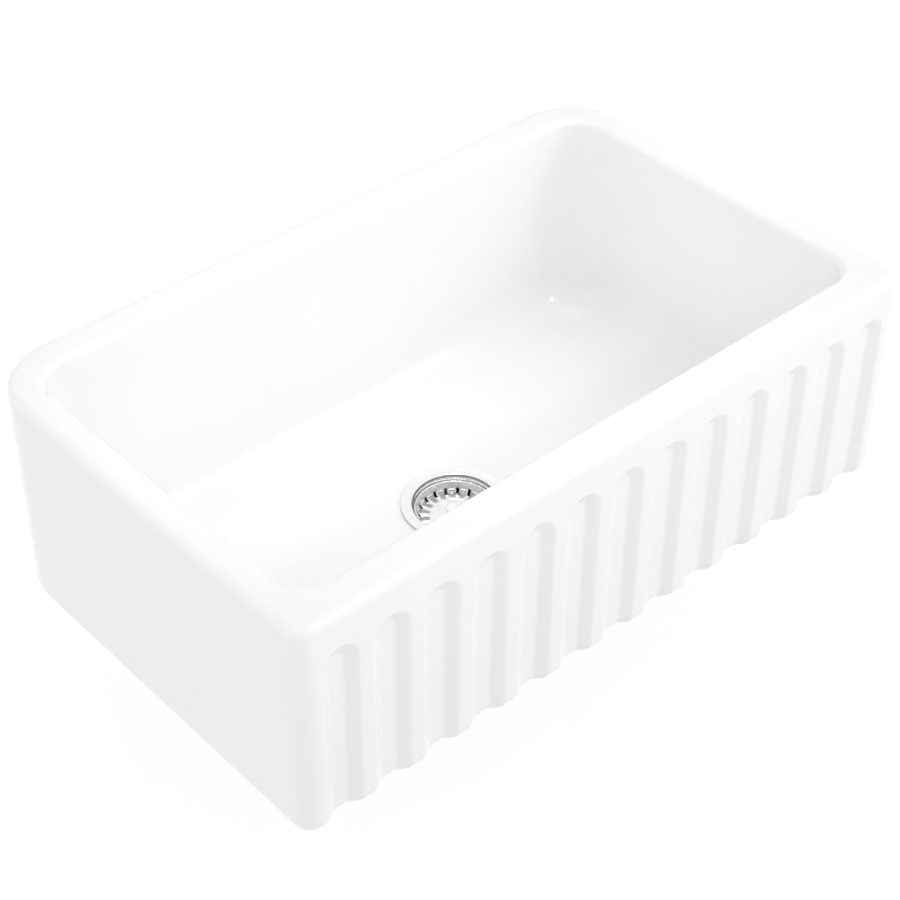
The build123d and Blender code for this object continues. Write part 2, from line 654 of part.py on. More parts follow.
def stopper_seal():
    """The rubber that closes the outlet: a bevelled disc with a plug below."""
    bore_r = STEM_R + SOCKET_CLEARANCE
    plug_r = OUTLET_R - STOPPER_PLUG_GAP
    outline = [
        (bore_r, STEM_NUT_Z),
        (plug_r - STOPPER_PLUG, STEM_NUT_Z),
        (plug_r, STOPPER_Z),
        (STOPPER_R, STOPPER_Z),
        (STOPPER_R, STOPPER_Z + STOPPER_T / 3),
        (STOPPER_R - STOPPER_PLATE_INSET, PLATE_Z),
        (bore_r, PLATE_Z),
    ]
    return turned(outline)


def stem_nut():
    """The nut under the stopper."""
    bore_r = STEM_R + SOCKET_CLEARANCE
    return hexagon_nut(bore_r, STEM_NUT_WIDTH, STEM_NUT_Z - STEM_NUT_T, STEM_NUT_Z)


PIECES = [
    fireclay_basin,
    strainer_cup,
    flange_gasket,
    outlet_nipple,
    under_gasket,
    outer_cup,
    cup_seal,
    slip_washer,
    locknut,
    tailpiece_washer,
    tailpiece,
    coupling_nut,
    basket,
    basket_bush,
    bush_nut,
    detent_ring,
    stopper_stem,
    knob,
    stopper_plate,
    stopper_seal,
    stem_nut,
]

os.makedirs("parts", exist_ok=True)
for make_piece in PIECES:
    export_step(make_piece(), f"parts/{make_piece.__name__}.step")
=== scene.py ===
# %% [markdown]
# # A fluted farmhouse sink, finished in Blender
#
# The sink is one thick fireclay casting under a glossy white glaze, with a steel basket strainer in
# its floor and the waste's nuts and tube below. The solids arrive as a fixed frame: their shapes and
# places are settled. Here they get their finishes, a studio and a camera, and the pieces whose
# surface needs more than a solid gives are made again as finer meshes in the same place.

# %% Load the frame
import json
from math import atan2, cos, degrees, hypot, pi, radians, sin, sqrt, tan

import bmesh
import bpy
from mathutils import Matrix, Vector

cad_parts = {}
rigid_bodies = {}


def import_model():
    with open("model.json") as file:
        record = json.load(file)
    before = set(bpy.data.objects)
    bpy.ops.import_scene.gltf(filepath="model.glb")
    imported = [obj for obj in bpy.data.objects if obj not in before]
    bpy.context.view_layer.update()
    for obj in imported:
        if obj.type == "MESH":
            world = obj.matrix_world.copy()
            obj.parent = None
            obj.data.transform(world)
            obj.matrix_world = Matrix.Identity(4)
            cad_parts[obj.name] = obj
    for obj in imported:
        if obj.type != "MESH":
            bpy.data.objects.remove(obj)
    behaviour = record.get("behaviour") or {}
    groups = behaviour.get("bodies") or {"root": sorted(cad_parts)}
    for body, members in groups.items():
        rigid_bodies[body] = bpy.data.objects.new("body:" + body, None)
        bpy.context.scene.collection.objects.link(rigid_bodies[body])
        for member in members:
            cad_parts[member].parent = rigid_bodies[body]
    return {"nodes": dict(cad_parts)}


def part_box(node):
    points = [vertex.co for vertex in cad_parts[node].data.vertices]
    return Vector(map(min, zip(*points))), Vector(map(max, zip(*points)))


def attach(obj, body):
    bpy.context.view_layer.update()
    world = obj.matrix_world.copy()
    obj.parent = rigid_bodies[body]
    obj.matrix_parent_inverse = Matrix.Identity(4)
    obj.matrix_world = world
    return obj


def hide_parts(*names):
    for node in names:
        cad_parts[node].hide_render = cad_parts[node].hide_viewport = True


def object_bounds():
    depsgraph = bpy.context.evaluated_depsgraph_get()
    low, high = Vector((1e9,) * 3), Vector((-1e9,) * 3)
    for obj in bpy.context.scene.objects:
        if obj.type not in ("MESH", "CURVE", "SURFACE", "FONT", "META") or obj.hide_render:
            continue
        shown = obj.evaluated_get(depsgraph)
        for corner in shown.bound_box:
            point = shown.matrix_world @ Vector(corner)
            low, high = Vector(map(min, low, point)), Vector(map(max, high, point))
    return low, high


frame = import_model()
nodes = frame["nodes"]
cad_box = [list(corner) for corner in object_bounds()]
print("nodes:", len(nodes), "box:", cad_box)

# %% [markdown]
# ## Camera
#
# The photograph looks down on the near left corner through a moderately long lens. Azimuth is
# counted from straight in front, and height above the horizon. The camera first faces a point on the
# drain's axis, then slides a little within its own picture plane, which sets the sink in the frame
# without shifting the lens. It is rolled by half a degree, as a hand-levelled camera is.

# %% Place the camera
AIM = Vector((0, 0, 0.1143))
CAMERA_AZIMUTH = radians(-42.222)
CAMERA_HEIGHT = radians(39.840)
CAMERA_ROLL = radians(0.485)
CAMERA_DISTANCE = 2.0447
SLIDE_RIGHT = -0.0062
SLIDE_UP = -0.0191
FOCAL_LENGTH = 82.8
SENSOR_WIDTH = 36.0


def add_camera():
    """A camera that looks past the drain's axis from the photograph's direction."""
    data = bpy.data.cameras.new("camera")
    data.sensor_width = SENSOR_WIDTH
    data.lens = FOCAL_LENGTH
    camera = bpy.data.objects.new("camera", data)
    bpy.context.scene.collection.objects.link(camera)
    level = cos(CAMERA_HEIGHT)
    away = Vector((sin(CAMERA_AZIMUTH) * level, -cos(CAMERA_AZIMUTH) * level, sin(CAMERA_HEIGHT)))
    level_right = Vector((0, 0, 1)).cross(away).normalized()
    level_up = away.cross(level_right)
    right = level_right * cos(CAMERA_ROLL) + level_up * sin(CAMERA_ROLL)
    up = away.cross(right)
    place = AIM + away * CAMERA_DISTANCE + right * SLIDE_RIGHT + up * SLIDE_UP
    turn = Matrix((right, up, away)).transposed().to_4x4()
    camera.matrix_world = Matrix.Translation(place) @ turn
    bpy.context.scene.camera = camera
    return camera


camera = add_camera()
print("lens:", round(camera.data.lens, 2), "mm, at", [round(v, 3) for v in camera.location])

# %% [markdown]
# ## Reading node trees
#
# Every finish below is a small tree of nodes. Three helpers keep them short. One writes a neutral
# colour as a single level. One adds a node and sets its sockets by name. The last tells what the
# camera sees, straight, in a mirror or through glass, from the soft light that passes between
# surfaces, because the studio looks different to each.

# %% Helpers for node trees
def grey(level):
    """A neutral colour of this level."""
    return (level, level, level, 1)


def add_node(tree, kind, **values):
    """A new node with these sockets or settings; underscores stand for spaces in a socket's name."""
    node = tree.nodes.new(kind)
    for name, value in values.items():
        socket = node.inputs.get(name.replace("_", " "))
        if socket is None:
            setattr(node, name, value)
        else:
            socket.default_value = value
    return node


def seen_directly(tree):
    """1 for camera, glossy and transmission rays, 0 for the diffuse light between surfaces."""
    path = tree.nodes.new("ShaderNodeLightPath")
    mirror = add_node(tree, "ShaderNodeMath", operation="MAXIMUM")
    tree.links.new(path.outputs["Is Camera Ray"], mirror.inputs[0])
    tree.links.new(path.outputs["Is Glossy Ray"], mirror.inputs[1])
    either = add_node(tree, "ShaderNodeMath", operation="MAXIMUM")
    tree.links.new(mirror.outputs[0], either.inputs[0])
    tree.links.new(path.outputs["Is Transmission Ray"], either.inputs[1])
    return either.outputs[0]


print("a mid grey is", grey(0.5))

# %% [markdown]
# ## Studio
#
# The photograph is high key: white all round, very even light, and only the surfaces that face left
# fall off a little. A world of soft light does most of this. The world and the floor look plain white
# to the camera and in reflections, while to the diffuse light between surfaces they are a pale room,
# so the sink isn't overlit. The floor lies just under the waste's tube and keeps a faint shadow.

# %% World and floor
AMBIENT = 0.85
FLOOR_BELOW = 0.0006
FLOOR_HALF = 6.0
FLOOR_COLOUR = 0.85
FLOOR_SHADE = 0.16
FLOOR_GLOW = 0.88


def dress_world():
    """White where it is seen or reflected, and a pale even light otherwise."""
    world = bpy.data.worlds.new("studio")
    bpy.context.scene.world = world
    world.use_nodes = True
    tree = world.node_tree
    tree.nodes.clear()
    strength = add_node(tree, "ShaderNodeMapRange", To_Min=AMBIENT, To_Max=1.0)
    tree.links.new(seen_directly(tree), strength.inputs["Value"])
    background = add_node(tree, "ShaderNodeBackground", Color=grey(1))
    tree.links.new(strength.outputs["Result"], background.inputs["Strength"])
    output = tree.nodes.new("ShaderNodeOutputWorld")
    tree.links.new(background.outputs[0], output.inputs["Surface"])


def floor_paint():
    """A pale floor whose white is mostly its own glow where it is seen, so its shadow stays faint."""
    material = bpy.data.materials.new("floor_paint")
    material.use_nodes = True
    tree = material.node_tree
    tree.nodes.clear()
    room = add_node(tree, "ShaderNodeBsdfDiffuse", Color=grey(FLOOR_COLOUR))
    shade = add_node(tree, "ShaderNodeBsdfDiffuse", Color=grey(FLOOR_SHADE))
    glow = add_node(tree, "ShaderNodeEmission", Color=grey(1), Strength=FLOOR_GLOW)
    seen = tree.nodes.new("ShaderNodeAddShader")
    tree.links.new(shade.outputs[0], seen.inputs[0])
    tree.links.new(glow.outputs[0], seen.inputs[1])
    both = tree.nodes.new("ShaderNodeMixShader")
    tree.links.new(seen_directly(tree), both.inputs[0])
    tree.links.new(room.outputs[0], both.inputs[1])
    tree.links.new(seen.outputs[0], both.inputs[2])
    output = tree.nodes.new("ShaderNodeOutputMaterial")
    tree.links.new(both.outputs[0], output.inputs["Surface"])
    return material


def add_floor():
    """A wide level floor just under the lowest piece."""
    level = cad_box[0][2] - FLOOR_BELOW
    signs = [(-1, -1), (1, -1), (1, 1), (-1, 1)]
    corners = [(x * FLOOR_HALF, y * FLOOR_HALF, level) for x, y in signs]
    mesh = bpy.data.meshes.new("floor")
    mesh.from_pydata(corners, [], [(0, 1, 2, 3)])
    mesh.materials.append(floor_paint())
    floor = bpy.data.objects.new("floor", mesh)
    bpy.context.scene.collection.objects.link(floor)
    return level


dress_world()
print("floor at", round(add_floor(), 4))

# %% [markdown]
# ## Lamps
#
# Soft panels shape the white. A big one stands in front and to the right, with a weak one further
# round, so that the flanks of the flutes that face left show as soft grey strips. One on the left
# lifts the end wall. The others have a grid in front of them, which keeps their light together. They
# reach into the bowl, which the even light can't fill by itself: one hangs over it, one looks in from
# the front at the rear wall, and one skims in from the left to the right end. The last is a narrow
# strip, far too weak to light anything, that draws a crisp line along the fillet of the rear wall.

# %% Add the lamps
MIDDLE = (0, 0, 0.1)


def add_panel(name, place, aim, size, power, fan=180):
    """A soft panel of this width and height in metres and power in watts, at place and facing aim.

    Its light fans out by this many degrees: 180 is a bare panel, less is one with a grid.
    """
    data = bpy.data.lights.new(name, "AREA")
    data.shape = "RECTANGLE"
    data.size, data.size_y = size
    data.energy = power
    data.spread = radians(fan)
    lamp = bpy.data.objects.new(name, data)
    bpy.context.scene.collection.objects.link(lamp)
    lamp.location = place
    lamp.rotation_euler = (Vector(aim) - Vector(place)).to_track_quat("-Z", "Y").to_euler()
    return lamp


add_panel("front_right_panel", (1.6, -2.0, 1.5), MIDDLE, (1.6, 1.6), 14.3)
add_panel("side_panel", (2.4, -1.6, 0.5), MIDDLE, (1.2, 1.2), 3.1)
add_panel("left_panel", (-2.6, 0.3, 0.4), MIDDLE, (1.6, 1.6), 5.0)
add_panel("bowl_panel", (-0.02, 0, 1.9), (-0.02, 0, 0), (0.62, 0.3), 0.147, 22)
add_panel("rear_wall_panel", (-0.02, -1.5, 1.6), (-0.02, 0.19, 0.12), (0.82, 0.3), 0.135, 12)
add_panel("right_end_panel", (-1.6, 0, 0.85), (0.34, 0, 0.17), (0.5, 0.15), 0.024, 10)
add_panel("highlight_strip", (0.15, -0.8, 1.75), (0, 0.06, 0.06), (0.5, 0.1), 0.02, 40)
bpy.context.scene.view_settings.view_transform = "Standard"

# %% [markdown]
# ## The fired body as a mesh
#
# The real body is cast in a plaster mould, glazed and fired, so all its surfaces run into each other
# in soft curves. A gloss finish shows every flat facet, and the solid's triangles are long and
# uneven. The body is made again as one regular net: closed rings that run round the plan of the
# sink, stacked along its section. They go over the floor, up the wall, over the rim, down the apron,
# under the foot and back through the drain. Each ring has the same number of points, so neighbours
# join into four-sided faces, and the last ring joins the first.

# %% Sizes of the body
BODY_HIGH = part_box("fireclay_basin")[1]
HALF_WIDTH = BODY_HIGH.x
HALF_DEPTH = BODY_HIGH.y
HEIGHT = BODY_HIGH.z
FRONT_CORNER_R = 0.019
REAR_CORNER_R = 0.065
RIM_EDGE_R = 0.010
FOOT_EDGE_R = 0.017
FOOT_GRIND = 0.0008

END_RIM = 0.030
LONG_RIM = 0.037
LIP_R = 0.007
WALL_LEAN = 0.010
MOUTH_CORNER_R = 0.035
FLOOR_CORNER_R = 0.062
BOWL_FLOOR_Z = 0.023
BOWL_FILLET_R = 0.038
DISH_DROP = 0.0055
DISH_R = 0.142
DISH_PAD_R = 0.061
DRAIN_HOLE_R = 0.0455
DRAIN_RING_Z = 0.006
SEAT_CLEARANCE = 0.003
SEAT_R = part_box("outer_cup")[1].x + SEAT_CLEARANCE
SEAT_DEPTH = 0.002
print("body:", [round(v, 4) for v in (HALF_WIDTH * 2, HALF_DEPTH * 2, HEIGHT)])

# %% [markdown]
# ### Flutes
#
# The apron has thirteen flutes. Across, each is a level bottom between two slopes, with the creases
# rolled soft by the glaze, and on top it ends in a half-round arch. All of that is one number: how
# far a point is from the flute's middle line, or from the arch's centre above it. The depth follows
# from that distance alone.

# %% Depth of the apron's flutes
FLUTE_COUNT = 13
FLUTE_DEPTH = 0.0075
FLUTE_FLAT = 0.0085
FLUTE_EDGE = 0.0203
FLUTE_LAND = 0.0053
CREASE_R = 0.007
ARCH_BELOW_RIM = 0.038
ARCH_Z = HEIGHT - ARCH_BELOW_RIM - FLUTE_EDGE

FLUTE_SLOPE = atan2(FLUTE_DEPTH, FLUTE_EDGE - FLUTE_FLAT)
CREASE_REACH = CREASE_R * tan(FLUTE_SLOPE / 2)
LAST_FLUTE = HALF_WIDTH - FRONT_CORNER_R - FLUTE_LAND - FLUTE_EDGE
FLUTE_PITCH = 2 * LAST_FLUTE / (FLUTE_COUNT - 1)


def crease(distance):
    """How far a rolled crease lifts off its two straight sides, this far along from where it starts."""
    return CREASE_R - sqrt(max(CREASE_R**2 - distance**2, 0))


def flute_depth(x, z):
    """Depth of the apron's surface at this place."""
    from_left = min(max((x + LAST_FLUTE) / FLUTE_PITCH, 0), FLUTE_COUNT - 1)
    middle = round(from_left) * FLUTE_PITCH - LAST_FLUTE
    away = hypot(x - middle, max(z - ARCH_Z, 0))
    slope_start = FLUTE_FLAT + CREASE_REACH * cos(FLUTE_SLOPE)
    slope_end = FLUTE_EDGE - CREASE_REACH * cos(FLUTE_SLOPE)
    if away < FLUTE_FLAT - CREASE_REACH:
        return FLUTE_DEPTH
    if away < slope_start:
        return FLUTE_DEPTH - crease(away - FLUTE_FLAT + CREASE_REACH)
    if away < slope_end:
        return (FLUTE_EDGE - away) * tan(FLUTE_SLOPE)
    return crease(max(FLUTE_EDGE + CREASE_REACH - away, 0))


print("flute pitch:", round(FLUTE_PITCH * 1000, 2), "mm")

# %% [markdown]
# ### Rings round the plan
#
# Every ring is a rectangle with round corners. Its points are dealt out side by side: close together
# on the apron, where the flutes need them, and wider apart elsewhere.

# %% Points of one ring
APRON_POINTS = 1080
CORNER_POINTS = 14
END_POINTS = 60
REAR_CORNER_POINTS = 24
REAR_POINTS = 110


def arc_points(centre, radius, start, count):
    """Points of a quarter circle in plan that starts at this angle, without the last."""
    angles = [start + pi / 2 * i / count for i in range(count)]
    return [(centre[0] + radius * cos(a), centre[1] + radius * sin(a)) for a in angles]


def line_points(start, end, count):
    """Evenly spaced points of a straight side, without the last."""
    steps = [i / count for i in range(count)]
    return [(start[0] + (end[0] - start[0]) * t, start[1] + (end[1] - start[1]) * t) for t in steps]


def plan_ring(half_x, half_y, front_r, rear_r):
    """A rectangle with round corners in plan, from the apron's left end round to the right."""
    front_x = half_x - front_r
    rear_x = half_x - rear_r
    front_y = half_y - front_r
    rear_y = half_y - rear_r
    points = line_points((-front_x, -half_y), (front_x, -half_y), APRON_POINTS)
    points += arc_points((front_x, -front_y), front_r, -pi / 2, CORNER_POINTS)
    points += line_points((half_x, -front_y), (half_x, rear_y), END_POINTS)
    points += arc_points((rear_x, rear_y), rear_r, 0, REAR_CORNER_POINTS)
    points += line_points((rear_x, half_y), (-rear_x, half_y), REAR_POINTS)
    points += arc_points((-rear_x, rear_y), rear_r, pi / 2, REAR_CORNER_POINTS)
    points += line_points((-half_x, rear_y), (-half_x, -front_y), END_POINTS)
    points += arc_points((-front_x, -front_y), front_r, pi, CORNER_POINTS)
    return points


def outside_ring(inset, z):
    """A ring of the outside, this far inside its plan, with the flutes pressed into the apron."""
    plan = plan_ring(
        HALF_WIDTH - inset, HALF_DEPTH - inset, FRONT_CORNER_R - inset, REAR_CORNER_R - inset
    )
    on_apron = [(x, y + flute_depth(x, z), z) for x, y in plan[:APRON_POINTS]]
    return on_apron + [(x, y, z) for x, y in plan[APRON_POINTS:]]


def inside_ring(offset, z):
    """A ring of the bowl, this far outside the line of its mouth; its corners widen downwards."""
    fall = (HEIGHT - z) / (HEIGHT - BOWL_FLOOR_Z)
    wall_offset = -WALL_LEAN * fall
    corner_r = MOUTH_CORNER_R + (FLOOR_CORNER_R - MOUTH_CORNER_R) * fall + offset - wall_offset
    half_x = HALF_WIDTH - END_RIM + offset
    half_y = HALF_DEPTH - LONG_RIM + offset
    return [(x, y, z) for x, y in plan_ring(half_x, half_y, corner_r, corner_r)]


def round_ring(radius, z, like):
    """A circle about the drain whose points lie in the same directions as those of another ring."""
    return [(radius * cos(a), radius * sin(a), z) for a in (atan2(y, x) for x, y, _ in like)]


def between(first, second, share):
    """A ring part of the way from one to the other."""
    return [tuple(a + (b - a) * share for a, b in zip(p, q)) for p, q in zip(first, second)]


print("points in a ring:", len(outside_ring(0, 0)))

# %% [markdown]
# ### Stacking the rings
#
# The section is followed from the drain outwards. Curved stretches get a ring every few degrees and
# straight ones only what they need, apart from the band of the arches, where rings half a millimetre
# apart carry the curve of each arch. The counts below are the steps in each stretch.

# %% Rings along the section
PAD_STEPS = 2
DISH_STEPS = 20
FLOOR_STEPS = 8
FILLET_STEPS = 16
WALL_STEPS = 12
LIP_STEPS = 18
RIM_EDGE_STEPS = 16
LAND_STEPS = 3
ARCH_STEPS = 44
FLUTE_STEPS = 14
FOOT_STEPS = 8
UNDER_STEPS = 6

LEAN_ANGLE = atan2(WALL_LEAN, HEIGHT - BOWL_FLOOR_Z)
DISH_CURVE_R = (((DISH_R - DISH_PAD_R) / 2) ** 2 + (DISH_DROP / 2) ** 2) / DISH_DROP


def spread(first, last, count):
    """Evenly spaced values from first to last, both included."""
    return [first + (last - first) * i / count for i in range(count + 1)]


def dish_z(radius):
    """Height of the fall to the drain: two arcs that meet half way down."""
    if radius < (DISH_PAD_R + DISH_R) / 2:
        rise = DISH_CURVE_R - sqrt(DISH_CURVE_R**2 - (radius - DISH_PAD_R) ** 2)
        return BOWL_FLOOR_Z - DISH_DROP + rise
    fall = DISH_CURVE_R - sqrt(DISH_CURVE_R**2 - (DISH_R - radius) ** 2)
    return BOWL_FLOOR_Z - fall


def bowl_rings():
    """From the drain's edge over the floor and up the wall to the rim."""
    fillet_reach = BOWL_FILLET_R * tan((pi / 2 - LEAN_ANGLE) / 2)
    floor_edge = inside_ring(-WALL_LEAN - fillet_reach, BOWL_FLOOR_Z)
    dish_edge = round_ring(DISH_R, BOWL_FLOOR_Z, floor_edge)
    pad_z = dish_z(DISH_PAD_R)
    pad_radii = spread(DRAIN_HOLE_R, DISH_PAD_R, PAD_STEPS)
    dish_radii = spread(DISH_PAD_R, DISH_R, DISH_STEPS)[1:-1]
    rings = [round_ring(radius, pad_z, floor_edge) for radius in pad_radii]
    rings += [round_ring(radius, dish_z(radius), floor_edge) for radius in dish_radii]
    rings += [between(dish_edge, floor_edge, share) for share in spread(0, 1, FLOOR_STEPS)[:-1]]
    for turn in spread(pi / 2, LEAN_ANGLE, FILLET_STEPS):
        offset = -WALL_LEAN - fillet_reach + BOWL_FILLET_R * cos(turn)
        rings.append(inside_ring(offset, BOWL_FLOOR_Z + BOWL_FILLET_R * (1 - sin(turn))))
    lip_reach = LIP_R * tan((pi / 2 - LEAN_ANGLE) / 2)
    lip = []
    for turn in spread(pi / 2 - LEAN_ANGLE, 0, LIP_STEPS):
        lip.append((lip_reach - LIP_R * sin(turn), HEIGHT - LIP_R * (1 - cos(turn))))
    fillet_top = rings[-1][0][2]
    lip_low = lip[0][1]
    for z in spread(fillet_top, lip_low, WALL_STEPS)[1:-1]:
        rings.append(inside_ring(-(HEIGHT - z) * tan(LEAN_ANGLE), z))
    return rings + [inside_ring(offset, z) for offset, z in lip]


def outer_rings():
    """Over the rim, down the outside and round the foot to the ground underside."""
    rings = []
    for turn in spread(pi / 2, 0, RIM_EDGE_STEPS):
        z = HEIGHT - RIM_EDGE_R * (1 - sin(turn))
        rings.append(outside_ring(RIM_EDGE_R * (1 - cos(turn)), z))
    crown = ARCH_Z + FLUTE_EDGE + CREASE_REACH
    foot_z = FOOT_EDGE_R - FOOT_GRIND
    rings += [outside_ring(0, z) for z in spread(HEIGHT - RIM_EDGE_R, crown, LAND_STEPS)[1:-1]]
    rings += [outside_ring(0, z) for z in spread(crown, ARCH_Z, ARCH_STEPS)]
    rings += [outside_ring(0, z) for z in spread(ARCH_Z, foot_z, FLUTE_STEPS)[1:-1]]
    ground_turn = atan2(foot_z, sqrt(FOOT_EDGE_R**2 - foot_z**2))
    for turn in spread(0, ground_turn, FOOT_STEPS):
        inset = FOOT_EDGE_R * (1 - cos(turn))
        rings.append(outside_ring(inset, max(foot_z - FOOT_EDGE_R * sin(turn), 0)))
    return rings


def under_rings(foot, drain):
    """Across the bare underside, up into the seat of the waste and through the drain."""
    seat_edge = round_ring(SEAT_R, 0, drain)
    rings = [between(foot, seat_edge, share) for share in spread(0, 1, UNDER_STEPS)[1:-1]]
    rings += [seat_edge, round_ring(SEAT_R, SEAT_DEPTH, drain)]
    return rings + [round_ring(DRAIN_HOLE_R, z, drain) for z in (SEAT_DEPTH, DRAIN_RING_Z)]


print("bowl wall leans", round(degrees(LEAN_ANGLE), 1), "degrees")

# %% Join the rings into one closed mesh
SHARP_FROM = radians(32)


def net_mesh(name, rings):
    """A mesh of four-sided faces between neighbouring rings, the last of which meets the first."""
    width = len(rings[0])
    points = [point for ring in rings for point in ring]
    faces = []
    for i in range(len(rings)):
        low = i * width
        high = (i + 1) % len(rings) * width
        for j in range(width):
            k = (j + 1) % width
            faces.append((low + j, low + k, high + k, high + j))
    mesh = bpy.data.meshes.new(name)
    mesh.from_pydata(points, [], faces)
    mesh.shade_smooth()
    mesh.set_sharp_from_angle(angle=SHARP_FROM)
    return mesh


def make_body():
    """The fired body, whose second material covers the underside and the seat of the waste."""
    glazed = bowl_rings() + outer_rings()
    rings = glazed + under_rings(glazed[-1], glazed[0])
    mesh = net_mesh("fireclay_body", rings)
    mesh.flip_normals()
    width = len(rings[0])
    for face in mesh.polygons:
        face.material_index = int(face.index // width >= len(glazed) - 1)
    body = bpy.data.objects.new("fireclay_body", mesh)
    bpy.context.scene.collection.objects.link(body)
    return body


body = make_body()
print("body faces:", len(body.data.polygons))

# %% [markdown]
# ## What a finish is made of
#
# No real surface is one flat colour, and a photograph wrapped round a piece would stretch. So each
# finish here starts from noise in space, which has a value at every place on the piece. The noise is
# turned into what the shader wants: a colour between two tones, a roughness between two numbers, or
# the small heights of a bump.

# %% Helpers for finishes
def new_finish(name, **sockets):
    """A node material and its principled shader, with these sockets set."""
    material = bpy.data.materials.new(name)
    material.use_nodes = True
    shader = material.node_tree.nodes["Principled BSDF"]
    for socket, value in sockets.items():
        shader.inputs[socket.replace("_", " ")].default_value = value
    return material, material.node_tree, shader


def noise(tree, place, scale, detail=2.0, roughness=0.5):
    """A noise of this many waves to the metre."""
    texture = add_node(tree, "ShaderNodeTexNoise", Scale=scale, Detail=detail, Roughness=roughness)
    tree.links.new(place, texture.inputs["Vector"])
    return texture.outputs["Fac"]


def between_colours(tree, factor, low, high, start=0.3, end=0.7):
    """A colour that goes from low to high as the factor goes from start to end."""
    ramp = tree.nodes.new("ShaderNodeValToRGB")
    ramp.color_ramp.elements[0].position = start
    ramp.color_ramp.elements[0].color = low
    ramp.color_ramp.elements[1].position = end
    ramp.color_ramp.elements[1].color = high
    tree.links.new(factor, ramp.inputs[0])
    return ramp.outputs["Color"]


def in_range(tree, factor, low, high, start=0.3, end=0.7):
    """A number that goes from low to high as the factor goes from start to end."""
    mapped = add_node(
        tree, "ShaderNodeMapRange", From_Min=start, From_Max=end, To_Min=low, To_Max=high
    )
    tree.links.new(factor, mapped.inputs["Value"])
    return mapped.outputs["Result"]


def bumped(tree, height, depth, normal=None):
    """The normal of a surface whose height varies by this depth in metres, on top of any other."""
    bump = add_node(tree, "ShaderNodeBump", Strength=1.0, Distance=depth)
    tree.links.new(height, bump.inputs["Height"])
    if normal is not None:
        tree.links.new(normal, bump.inputs["Normal"])
    return bump.outputs["Normal"]


def object_place(tree):
    """The place on the object, in metres."""
    return tree.nodes.new("ShaderNodeTexCoord").outputs["Object"]


print("materials before the first finish:", len(bpy.data.materials))

# %% [markdown]
# ## Glaze and bare clay
#
# The glaze is a thick, glassy coat over white clay: nearly pure white and mirror smooth, with the
# long shallow waves that it keeps from flowing in the kiln and a faint orange peel. Its white varies
# very slightly where it lies thicker. A principled shader with low roughness gives the mirror, and
# two noises in a bump give the waves. The underside is ground flat after firing, so there the bare,
# creamy clay shows, with grains of grog in it.

# %% Glaze and clay
GLAZE_WHITE = (0.93, 0.93, 0.925, 1)
GLAZE_THIN = (0.921, 0.921, 0.914, 1)
POOL_SCALE = 9.0
GLOSS_SCALE = 40.0
GLOSS_LOW = 0.06
GLOSS_HIGH = 0.11
WAVE_SCALE = 16.0
WAVE_DEPTH = 0.0001
PEEL_SCALE = 350.0
PEEL_DEPTH = 0.000006
CLAY_PALE = (0.80, 0.76, 0.68, 1)
CLAY_DARK = (0.66, 0.60, 0.50, 1)
GROG_SCALE = 600.0
GRAIN_SCALE = 1500.0
GRAIN_DEPTH = 0.0002
GRAIN_EDGE = 0.7


def white_glaze():
    """Thick white glaze with shallow waves and a faint orange peel."""
    material, tree, shader = new_finish("white_glaze", IOR=1.5)
    place = object_place(tree)
    colour = between_colours(tree, noise(tree, place, POOL_SCALE), GLAZE_THIN, GLAZE_WHITE)
    tree.links.new(colour, shader.inputs["Base Color"])
    gloss = in_range(tree, noise(tree, place, GLOSS_SCALE, 4.0), GLOSS_LOW, GLOSS_HIGH)
    tree.links.new(gloss, shader.inputs["Roughness"])
    waves = bumped(tree, noise(tree, place, WAVE_SCALE, 1.0), WAVE_DEPTH)
    peel = bumped(tree, noise(tree, place, PEEL_SCALE, 1.0), PEEL_DEPTH, waves)
    tree.links.new(peel, shader.inputs["Normal"])
    return material


def bare_clay():
    """Ground, unglazed fireclay with grains of grog."""
    material, tree, shader = new_finish("bare_clay", Roughness=0.85)
    place = object_place(tree)
    grog = noise(tree, place, GROG_SCALE, 6.0, GRAIN_EDGE)
    colour = between_colours(tree, grog, CLAY_DARK, CLAY_PALE, 0.35, 0.55)
    tree.links.new(colour, shader.inputs["Base Color"])
    grain = noise(tree, place, GRAIN_SCALE, 4.0, GRAIN_EDGE)
    tree.links.new(bumped(tree, grain, GRAIN_DEPTH), shader.inputs["Normal"])
    return material


body.data.materials.append(white_glaze())
body.data.materials.append(bare_clay())
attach(body, "sink")
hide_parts("fireclay_basin")
print("glazed:", body.name)

# %% [markdown]
# ## Steel
#
# The strainer is pressed and spun from stainless sheet, then polished on a wheel while it turns. That
# leaves rings about its axis, too fine to see one by one, which stretch each reflection a little. The
# rings come from a noise that is read by distance from the axis and height instead of by place. One
# function makes every turned metal here, and its numbers make it bright or dull.

# %% Turned metals
RING_SCALE = 2600.0
RING_DRIFT = 0.02
CLOUD_SCALE = 60.0
STREAK_SCALE = 700.0
PATCH_SMOOTH = 0.22
PATCH_DULL = 0.40
MIX_SOCKETS = {"RGBA": (6, 7, 2), "FLOAT": (2, 3, 0)}


